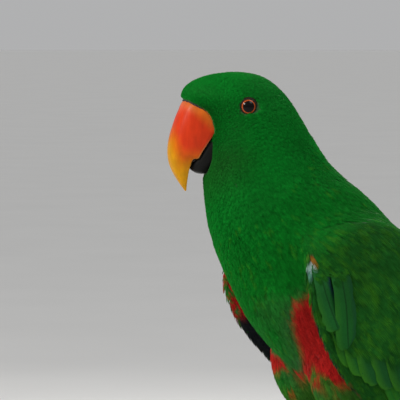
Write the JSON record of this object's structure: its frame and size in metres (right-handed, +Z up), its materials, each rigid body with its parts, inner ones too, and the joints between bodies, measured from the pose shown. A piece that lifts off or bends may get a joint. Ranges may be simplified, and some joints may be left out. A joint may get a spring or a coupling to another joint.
{
  "type": "eclectus parrot on a perch",
  "caption": "Life-size male eclectus parrot, a green medium-sized parrot with a deep hooked bill, standing on a cut branch held by a plain display stand.",
  "frame": {"origin": "centre of the flat underside of the display stand's base", "axes": "-Y is the way the bird's trunk faces, +X is the bird's left side, +Z is up; the perch runs along X"},
  "size_m": [0.148, 0.2105, 0.2881],
  "materials": {
    "green_feathers": "sleek feathers",
    "upper_bill": "smooth horn, orange-red with a yellow tip",
    "lower_bill": "smooth black horn",
    "tongue": "dark moist skin",
    "eye": "clear gloss over a black pupil and an orange-brown iris",
    "leg_skin": "grey scaled skin",
    "claw": "black horn",
    "perch_bark": "weathered branch",
    "stand_wood": "dark satin wood",
    "stand_steel": "brushed steel rod"
  },
  "bodies": {
    "root": {"head": "green_feathers", "neck": "green_feathers", "torso": "green_feathers", "tail": "green_feathers", "wing_left": "green_feathers", "wing_right": "green_feathers", "thigh_left": "green_feathers", "thigh_right": "green_feathers", "upper_bill": "upper_bill", "lower_bill": "lower_bill", "tongue": "tongue", "eye_left": "eye", "eye_right": "eye", "foot_left": "leg_skin", "foot_right": "leg_skin", "claw_left_first": "claw", "claw_left_second": "claw", "claw_left_third": "claw", "claw_left_fourth": "claw", "claw_right_first": "claw", "claw_right_second": "claw", "claw_right_third": "claw", "claw_right_fourth": "claw", "perch": "perch_bark", "stand_base": "stand_wood", "stand_rod_left": "stand_steel", "stand_rod_right": "stand_steel"}
  },
  "joints": []
}
